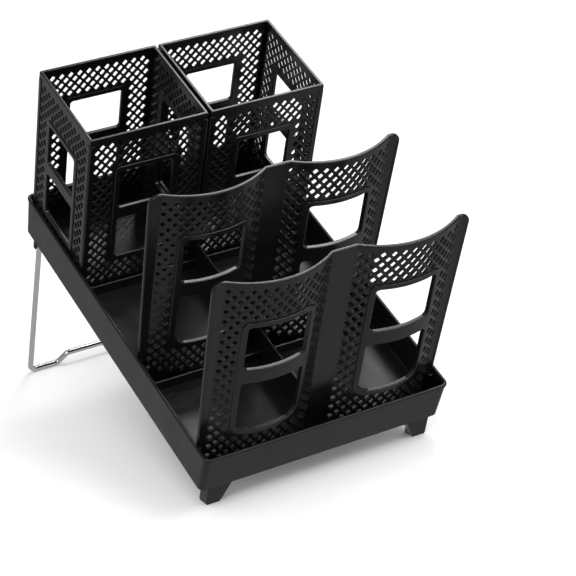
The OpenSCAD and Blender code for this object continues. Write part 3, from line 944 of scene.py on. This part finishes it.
@dataclass
class Bin:
    """One lift-out bin with pierced walls, stacked windows and corner posts."""

    shop: Workshop
    side: Side
    width: float = 105.4
    depth: float = 98.0
    height: float = 165.0
    wall: float = 2.0
    proud: float = 0.6
    post: float = 4.4
    rim: tuple[float, float] = (2.6, 2.4)
    gap: float = 1.6
    window: float = 47.0
    border: float = 4.6
    border_proud: tuple[float, float] = (1.0, 0.4)
    low_window: tuple[float, float] = (36.0, 77.5)
    high_window: tuple[float, float] = (88.5, 127.0)
    pitch: tuple[float, float] = (8.14, 9.4)
    hole: tuple[float, float] = (5.6, 6.5)
    hole_margin: float = 2.8
    top_row: float = 154.8
    rows: int = 31

    @property
    def inner_size(self) -> tuple[float, float]:
        """Width and depth over the plain walls, inside what stands proud."""
        return self.width - 2 * self.proud, self.depth - 2 * self.proud

    def windows(self) -> list[Loop]:
        """Outlines of the two windows of a wall."""
        half = self.window / 2
        return [
            rounded_rectangle((-half, self.low_window[0]), (half, self.low_window[1]), (3.0, 2.5)),
            rounded_rectangle((-half, self.high_window[0]), (half, self.high_window[1]), (2.5, 2.5)),
        ]

    def wall_parts(self, width: float) -> list[bpy.types.Mesh]:
        """A plain wall and its raised window frame, the wall's outer face on y = 0.

        Args:
            width: the wall's width.

        Returns:
            The two meshes.
        """
        half = self.window / 2 + self.border
        low, high = self.low_window[0] - self.border, self.high_window[1] + self.border
        inside = 2.0
        outline = rounded_rectangle((-width / 2, 0), (width / 2, self.height - 1), (0.3, 0.3), 2)
        opening = rounded_rectangle((-half + inside, low + inside), (half - inside, high - inside), (3.0, 2.0))
        sheet = moved(plate([outline, opening], self.wall, 0.15, 1), Matrix.Translation((0, self.wall / 2, 0)) @ UPRIGHT)
        border = rounded_rectangle((-half, low), (half, high), (5.0, 4.0), 8)
        outside, inside = self.border_proud
        ring = plate([border, *self.windows()], self.wall + outside + inside, 0.8, 4)
        return [sheet, moved(ring, Matrix.Translation((0, (self.wall + inside - outside) / 2, 0)) @ UPRIGHT)]

    def shell(self) -> bpy.types.Mesh:
        """The bin without its holes."""
        width, depth = self.inner_size
        middle = Matrix.Translation((width / 2, depth / 2, 0))
        quarter = [Matrix.Rotation(math.radians(a), 4, "Z") for a in (0, 180, -90, 90)]
        parts: list[bpy.types.Mesh] = []
        for turn, across, reach in zip(quarter, (width, width, depth, depth), (depth, depth, width, width)):
            for mesh in self.wall_parts(across):
                parts.append(moved(mesh, middle @ turn @ Matrix.Translation((0, -reach / 2, 0))))
        corner = [(-self.proud, self.post), *arc_points((1.2, 1.2), 1.2 + self.proud, 180, 270, 5), (self.post, -self.proud), (self.post, self.wall), (self.wall, self.wall), (self.wall, self.post)]
        tall = self.height - 6.0
        post = moved(plate([corner], tall, 0.35), Matrix.Translation((0, 0, tall / 2)))
        for x in (0, 1):
            for y in (0, 1):
                flip = Matrix.Diagonal((1 - 2 * x, 1 - 2 * y, 1, 1))
                parts.append(copied(post, Matrix.Translation((x * width, y * depth, 0)) @ flip))
        thick, tall = self.rim
        outer = rounded_rectangle((0, 0), (width, depth), (1.4, 1.4), 5)
        inner = rounded_rectangle((thick, thick), (width - thick, depth - thick), (0.6, 0.6), 3)
        parts.append(moved(plate([outer, inner], tall, 0.55, 3), Matrix.Translation((0, 0, self.height - tall / 2))))
        parts.append(block((0.2, 0.2, 0), (width - 0.2, depth - 0.2, 2.0), 0.3))
        return fused(parts)

    def build(self) -> None:
        """Builds the bin and hands it in."""
        width, depth = self.inner_size
        finish = self.shop.plastics["bin"]
        cutter = self.shop.cutter(*self.hole, self.wall, (0.3, 0.15), 0.35)
        obj = scratch_object("bin", self.shell())
        plain = self.window / 2 + self.border + self.hole[0] / 2 - 0.2
        walls = (
            (width, 0.0, (width / 2, self.wall / 2, 0)),
            (width, math.pi, (width / 2, depth - self.wall / 2, 0)),
            (depth, -math.pi / 2, (self.wall / 2, depth / 2, 0)),
            (depth, math.pi / 2, (width - self.wall / 2, depth / 2, 0)),
        )
        for across, turn, offset in walls:
            long_row = math.floor((across - 2 * (self.post + self.hole_margin)) / self.pitch[0]) + 1
            apply_tree(obj, self.shop.pierced, {
                "Cutter": cutter, "Columns": long_row, "Rows": self.rows, "Short Row First": TopRow.SHORT.value,
                "Pitch Across": self.pitch[0], "Pitch Up": self.pitch[1], "Top Row": self.top_row,
                "Plain Half Width": plain,
                "Plain From": self.low_window[0] - self.border - self.hole[1] / 2 + 0.3,
                "Plain To": self.high_window[1] + self.border + self.hole[1] / 2 - 0.3,
                "Turn": turn, "Offset": offset, "Finish": finish,
            })
        mesh = final_mesh(obj)
        bpy.data.objects.remove(cutter)
        left = self.gap / 2 if self.side is Side.RIGHT else -self.gap / 2 - self.width
        place = Matrix.Translation((left + self.proud, 335.0 - 6.3 - self.depth + self.proud, 8.0))
        name = self.side.name.lower()
        self.shop.deliver(f"bin_{name}_shell", moved(mesh, place), finish, f"{name}_bin", "bin_plastic", [f"bin_{name}"])


@dataclass
class Divider:
    """One lift-out divider: a sheet bent into two bays, pierced and windowed."""

    shop: Workshop
    row: Row
    bottom: float = 8.0
    top: float = 202.0
    bottom_half: float = 105.6
    top_half: float = 110.0
    thickness: float = 2.4
    bay_centre: float = 55.0
    bay_half: float = 44.5
    bay_depth: float = 13.0
    window: float = 51.6
    border: float = 4.6
    border_proud: tuple[float, float] = (1.4, 0.4)
    edge: tuple[float, float] = (2.8, 0.6)
    low_window: tuple[float, float] = (50.5, 101.5)
    high_window: tuple[float, float] = (115.3, 159.0)
    pitch: tuple[float, float] = (8.4, 10.05)
    hole: tuple[float, float] = (5.4, 6.4)
    top_row: float = 192.6
    columns: int = 11
    rows: int = 35
    crease: float = 0.9
    lines_at: dict[Row, float] = field(default_factory=lambda: {Row.FRONT: 21.8, Row.REAR: 124.8})

    def side_at(self, z: float, inset: float = 0.0) -> float:
        """Half the width of the divider at a height, less an inset."""
        share = (z - self.bottom) / (self.top - self.bottom)
        return self.bottom_half + (self.top_half - self.bottom_half) * share - inset

    def outline(self, inset: float, low: float) -> Loop:
        """The flat outline.

        Args:
            inset: how far it is drawn in at the sides and the top.
            low: height of its lower edge.

        Returns:
            The outline's points, against the clock from its lower left.
        """
        radius = 8.0 - inset
        top = self.top - inset
        centre = self.side_at(top - radius, inset) - radius
        right = arc_points((centre, top - radius), radius, 0, 90, 8)
        left = [(-x, z) for x, z in reversed(right)]
        return [(-self.side_at(low, inset), low), (self.side_at(low, inset), low), *right, *left]

    def trim(self) -> list[bpy.types.Mesh]:
        """The raised window frames and the thick edge, still flat."""
        half = self.window / 2
        low, high = self.low_window[0] - self.border, self.high_window[1] + self.border
        parts = []
        for side in Side:
            x = side.value * (self.bay_centre - 0.5)
            loops = [
                rounded_rectangle((x - half - self.border, low), (x + half + self.border, high), (12.0, 6.5), 8),
                rounded_rectangle((x - half, self.low_window[0]), (x + half, self.low_window[1]), (9.0, 3.5), 8),
                rounded_rectangle((x - half, self.high_window[0]), (x + half, self.high_window[1]), (3.5, 3.5), 6),
            ]
            front, back = self.border_proud
            ring = plate(loops, self.thickness + front + back, 0.9, 4)
            parts.append(moved(ring, Matrix.Translation((0, (back - front) / 2, 0)) @ UPRIGHT))
        width, proud = self.edge
        low = 42.0
        outer, inner = self.outline(0.0, low), self.outline(width, low)
        band = [*outer[1:], outer[0], inner[0], *reversed(inner[1:])]
        parts.append(moved(plate([band], self.thickness + 2 * proud, 1.2, 4), UPRIGHT))
        return parts

    def flat(self) -> bpy.types.Mesh:
        """The whole divider before it is bent, without its holes."""
        half = self.window / 2 + self.border - 2.5
        low, high = self.low_window[0] - self.border + 2.5, self.high_window[1] + self.border - 2.5
        loops = [self.outline(0.25, self.bottom)]
        for side in Side:
            x = side.value * (self.bay_centre - 0.5)
            loops.append(rounded_rectangle((x - half, low), (x + half, high), (9.5, 3.0), 6))
        sheet = moved(plate(loops, self.thickness, 0.3, 2), UPRIGHT)
        return fused([sheet, *self.trim()])

    def slope(self, x: float) -> float:
        """Slope of the bent sheet's middle line at a place across the divider."""
        radius = (self.bay_half**2 + self.bay_depth**2) / (2 * self.bay_depth)
        across = abs(x) - self.bay_centre
        limit = min(abs(across), self.bay_half)
        share = min(max((self.bay_half + self.crease - abs(across)) / (2 * self.crease), 0.0), 1.0)
        steep = share * limit / math.sqrt(radius * radius - limit * limit)
        return steep * math.copysign(1.0, across) * math.copysign(1.0, x)

    def depths(self, step: float = 0.05) -> list[float]:
        """Depth of the middle line at even steps out from the centre line.

        Args:
            step: distance between two values.

        Returns:
            The depths, from the middle of the divider to past its edge.
        """
        values = [0.0]
        while len(values) * step < self.top_half + 2:
            values.append(values[-1] + step * self.slope((len(values) - 0.5) * step))
        return values

    def bend(self, mesh: bpy.types.Mesh) -> bpy.types.Mesh:
        """Cuts the flat sheet into narrow strips and bends it along its bays."""
        work = bmesh.new()
        work.from_mesh(mesh)
        low, high = self.bay_centre - self.bay_half, self.bay_centre + self.bay_half
        soft = self.crease
        places = [edge + soft * share for edge in (low, high) for share in (-1.0, -0.33, 0.33, 1.0)]
        strips = math.ceil((high - low - 2 * soft) / 2.2)
        width = (high - low - 2 * soft) / strips
        places += [low + soft + width * i for i in range(1, strips)]
        for place in places:
            for sign in (-1, 1):
                geometry = [*work.verts, *work.edges, *work.faces]
                bmesh.ops.bisect_plane(work, geom=geometry, dist=0.0004, plane_co=(sign * place, 0, 0), plane_no=(1, 0, 0))
        step = 0.05
        depths = self.depths(step)
        for vert in work.verts:
            x, y, z = vert.co
            slope = self.slope(x)
            length = math.hypot(1.0, slope)
            spot = abs(x) / step
            below = int(spot)
            depth = depths[below] + (spot - below) * (depths[below + 1] - depths[below])
            vert.co = (x - y * slope / length, depth + y / length, z)
        bmesh.ops.recalc_face_normals(work, faces=work.faces)
        work.to_mesh(mesh)
        work.free()
        return mesh

    def even_shading(self, obj: bpy.types.Object) -> None:
        """Gives the sheet's faces the normals of the true curve instead of its strips."""
        mesh = obj.data
        stand = self.shop.stance.matrix()
        turn = stand.to_3x3().normalized()
        back = turn.transposed()
        normals = [Vector(corner.vector) for corner in mesh.corner_normals]
        for polygon in mesh.polygons:
            facing = back @ polygon.normal
            middle = polygon.center.x / MILLIMETRE
            for loop in polygon.loop_indices:
                x = mesh.vertices[mesh.loops[loop].vertex_index].co.x / MILLIMETRE
                slope = self.slope(x)
                ideal = Vector((-slope, 1.0, 0.0)).normalized() * math.copysign(1.0, facing.y)
                mid_slope = self.slope(middle)
                flat = Vector((-mid_slope, 1.0, 0.0)).normalized()
                if abs(facing.dot(flat)) > 0.97:
                    normals[loop] = turn @ ideal
        mesh.normals_split_custom_set(normals)

    def build(self) -> None:
        """Builds the divider and hands it in."""
        finish = self.shop.plastics["divider"]
        cutter = self.shop.cutter(*self.hole, self.thickness, (0.4, 0.15), 0.4)
        obj = scratch_object("divider", self.flat())
        for side in Side:
            apply_tree(obj, self.shop.pierced, {
                "Cutter": cutter, "Columns": self.columns, "Rows": self.rows, "Short Row First": TopRow.LONG.value,
                "Pitch Across": self.pitch[0], "Pitch Up": self.pitch[1], "Top Row": self.top_row,
                "Plain Half Width": self.window / 2 + self.border + self.hole[0] / 2 - 0.1,
                "Plain From": self.low_window[0] - self.border - self.hole[1] / 2,
                "Plain To": self.high_window[1] + self.border + self.hole[1] / 2,
                "Turn": 0.0, "Offset": (side.value * (self.bay_centre - 0.3), 0, 0), "Finish": finish,
            })
        mesh = self.bend(final_mesh(obj))
        bpy.data.objects.remove(cutter)
        moved(mesh, Matrix.Translation((0, self.lines_at[self.row], 0)))
        name = self.row.value
        body = "front_divider" if self.row is Row.FRONT else "back_divider"
        self.even_shading(self.shop.deliver(f"divider_{name}_sheet", mesh, finish, body, "divider_plastic", [f"divider_{name}"], 24.0))


@dataclass
class WireStand:
    """The folding stand, bent from one plated wire."""

    shop: Workshop
    leg: float = 105.0
    pin_end: float = 92.0
    step: tuple[float, float] = (78.0, 69.0)
    rise: float = 9.0
    top_bend: float = 4.0
    bend: float = 6.0

    def build(self) -> None:
        """Builds the stand and hands it in."""
        stance = self.shop.stance
        length = stance.leg_length
        half = [
            (self.pin_end, 0.0, 0.0), (self.leg, 0.0, self.top_bend), (self.leg, length, self.bend),
            (self.step[0], length, self.bend), (self.step[1], length - self.rise, self.bend),
        ]
        path = [(-x, y, r) for x, y, r in half] + [(x, y, r) for x, y, r in reversed(half)]
        curve = bpy.data.curves.new("stand path", "CURVE")
        curve.dimensions = "3D"
        spline = curve.splines.new("POLY")
        spline.points.add(len(path) - 1)
        for point, (x, y, radius) in zip(spline.points, path):
            point.co = (x, y, 0.0, 1.0)
            point.radius = radius
        obj = scratch_object("stand", curve)
        apply_tree(obj, self.shop.wire, {"Wire Radius": stance.wire_radius, "Sides": 32, "Bend Steps": 12, "Finish": self.shop.plating})
        mesh = tidy_mesh(final_mesh(obj))
        turn = Matrix.Rotation(math.radians(stance.leg_lean - 90), 4, "X")
        moved(mesh, Matrix.Translation((0, stance.hinge_y, stance.hinge_z)) @ turn)
        self.shop.deliver("stand_wire", mesh, self.shop.plating, "stand", "stand_wire", ["wire_stand"], 50.0)


@dataclass
class FootPads:
    """The rubber pads under the two front feet."""

    shop: Workshop

    def build(self) -> None:
        """Builds both pads and hands them in."""
        for side in Side:
            node = f"foot_pad_{side.name.lower()}"
            low, high = (Vector(corner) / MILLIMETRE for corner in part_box(node))
            mesh = block(tuple(low), tuple(high), 0.35)
            mesh.transform(Matrix.Scale(MILLIMETRE, 4))
            self.shop.deliver(f"{node}_rubber", mesh, self.shop.rubber, "base", "foot_rubber", [node], placed=True)


# ---------------------------------------------------------------- studio


@dataclass
class Studio:
    """The pale floor, the soft light and the camera."""

    stance: Stance
    eye: tuple[float, float, float] = (-717.1, -941.5, 1237.7)
    right: tuple[float, float, float] = (0.8695, -0.4803, 0.1149)
    down: tuple[float, float, float] = (-0.2519, -0.6315, -0.7333)
    ahead: tuple[float, float, float] = (0.4248, 0.6087, -0.6701)
    focal: float = 2164.5
    frame_width: float = 576.0
    ambient: float = 0.95
    room_below: float = 0.37
    room_above: float = 0.25

    def camera(self) -> None:
        """Sets the camera at the photograph's viewing angle."""
        data = bpy.data.cameras.new("camera")
        data.sensor_fit = "HORIZONTAL"
        data.sensor_width = 36.0
        data.lens = data.sensor_width * self.focal / self.frame_width
        data.clip_end = 50.0
        obj = scratch_object("camera", data)
        turn = Matrix.Rotation(math.radians(self.stance.tilt), 3, "X")
        axes = Matrix((Vector(self.right), -Vector(self.down), -Vector(self.ahead))).transposed()
        placed = (turn @ axes).to_4x4()
        placed.translation = self.stance.matrix() @ Vector(self.eye)
        obj.matrix_world = placed
        bpy.context.scene.camera = obj

    def floor(self) -> None:
        """Lays the pale floor."""
        mesh = bpy.data.meshes.new("floor")
        size = 6.0
        mesh.from_pydata([(-size, -size, 0), (size, -size, 0), (size, size, 0), (-size, size, 0)], [], [(0, 1, 2, 3)])
        mesh.materials.append(StudioPaper("studio paper").build())
        obj = scratch_object("floor", mesh)
        obj.visible_glossy = False

    def lamp(self, name: str, place: tuple[float, float, float], size: tuple[float, float], power: float) -> None:
        """Hangs one soft box, turned to the object.

        Args:
            name: the lamp's name.
            place: where it hangs, in metres.
            size: its width and height.
            power: its power in watts.
        """
        data = bpy.data.lights.new(name, "AREA")
        data.shape = "RECTANGLE"
        data.size, data.size_y = size
        data.energy = power
        obj = scratch_object(name, data)
        obj.location = place
        obj.rotation_euler = (Vector((0, 0, 0.12)) - Vector(place)).to_track_quat("-Z", "Y").to_euler()

    def surround(self) -> None:
        """Sets the pale surround, and the dimmer room that the gloss mirrors."""
        world = bpy.data.worlds.new("surround")
        world.use_nodes = True
        tree = world.node_tree
        background = next(n for n in tree.nodes if n.type == "BACKGROUND")
        background.inputs["Color"].default_value = (1.0, 1.0, 1.0, 1.0)
        heading = tree.nodes.new("ShaderNodeSeparateXYZ")
        tree.links.new(tree.nodes.new("ShaderNodeTexCoord").outputs["Generated"], heading.inputs[0])
        room = tree.nodes.new("ShaderNodeMapRange")
        for name, value in (("From Min", -0.05), ("From Max", 0.05), ("To Min", self.room_below), ("To Max", self.room_above)):
            room.inputs[name].default_value = value
        tree.links.new(heading.outputs["Z"], room.inputs["Value"])
        choice = tree.nodes.new("ShaderNodeMix")
        factor, plain, mirrored = (s for s in choice.inputs if s.enabled)
        plain.default_value = self.ambient
        tree.links.new(tree.nodes.new("ShaderNodeLightPath").outputs["Is Glossy Ray"], factor)
        tree.links.new(room.outputs["Result"], mirrored)
        tree.links.new(next(s for s in choice.outputs if s.enabled), background.inputs["Strength"])
        bpy.context.scene.world = world

    def light(self) -> None:
        """Lights the scene with the surround and three soft boxes."""
        self.surround()
        self.lamp("key", (0.85, -0.95, 1.65), (1.0, 0.6), 12.0)
        self.lamp("edge", (0.84, 0.56, 1.84), (0.5, 0.5), 7.0)
        self.lamp("fill", (-1.1, -1.3, 1.9), (1.4, 1.4), 16.0)
        bpy.context.scene.view_settings.view_transform = "Standard"

    def build(self) -> None:
        """Sets up the whole studio."""
        self.camera()
        self.floor()
        self.light()


def main() -> None:
    """Builds every sub-assembly in order."""
    logging.basicConfig(level=logging.INFO, format="%(message)s")
    stance = Stance()
    Studio(stance).build()
    shop = Workshop(
        stance=stance,
        pierced=pierced_sheet_tree(),
        wire=bent_wire_tree(),
        plastics={
            "tray": MouldedPlastic("tray plastic", 0.3, 0.38).build(),
            "bin": MouldedPlastic("bin plastic").build(),
            "divider": MouldedPlastic("divider plastic").build(),
        },
        plating=PlatedWire("plated wire").build(),
        rubber=FootRubber("foot rubber").build(),
    )
    Tray(shop).build()
    for side in Side:
        Bin(shop, side).build()
    for row in Row:
        Divider(shop, row).build()
    WireStand(shop).build()
    FootPads(shop).build()


if __name__ == "__main__":
    main()
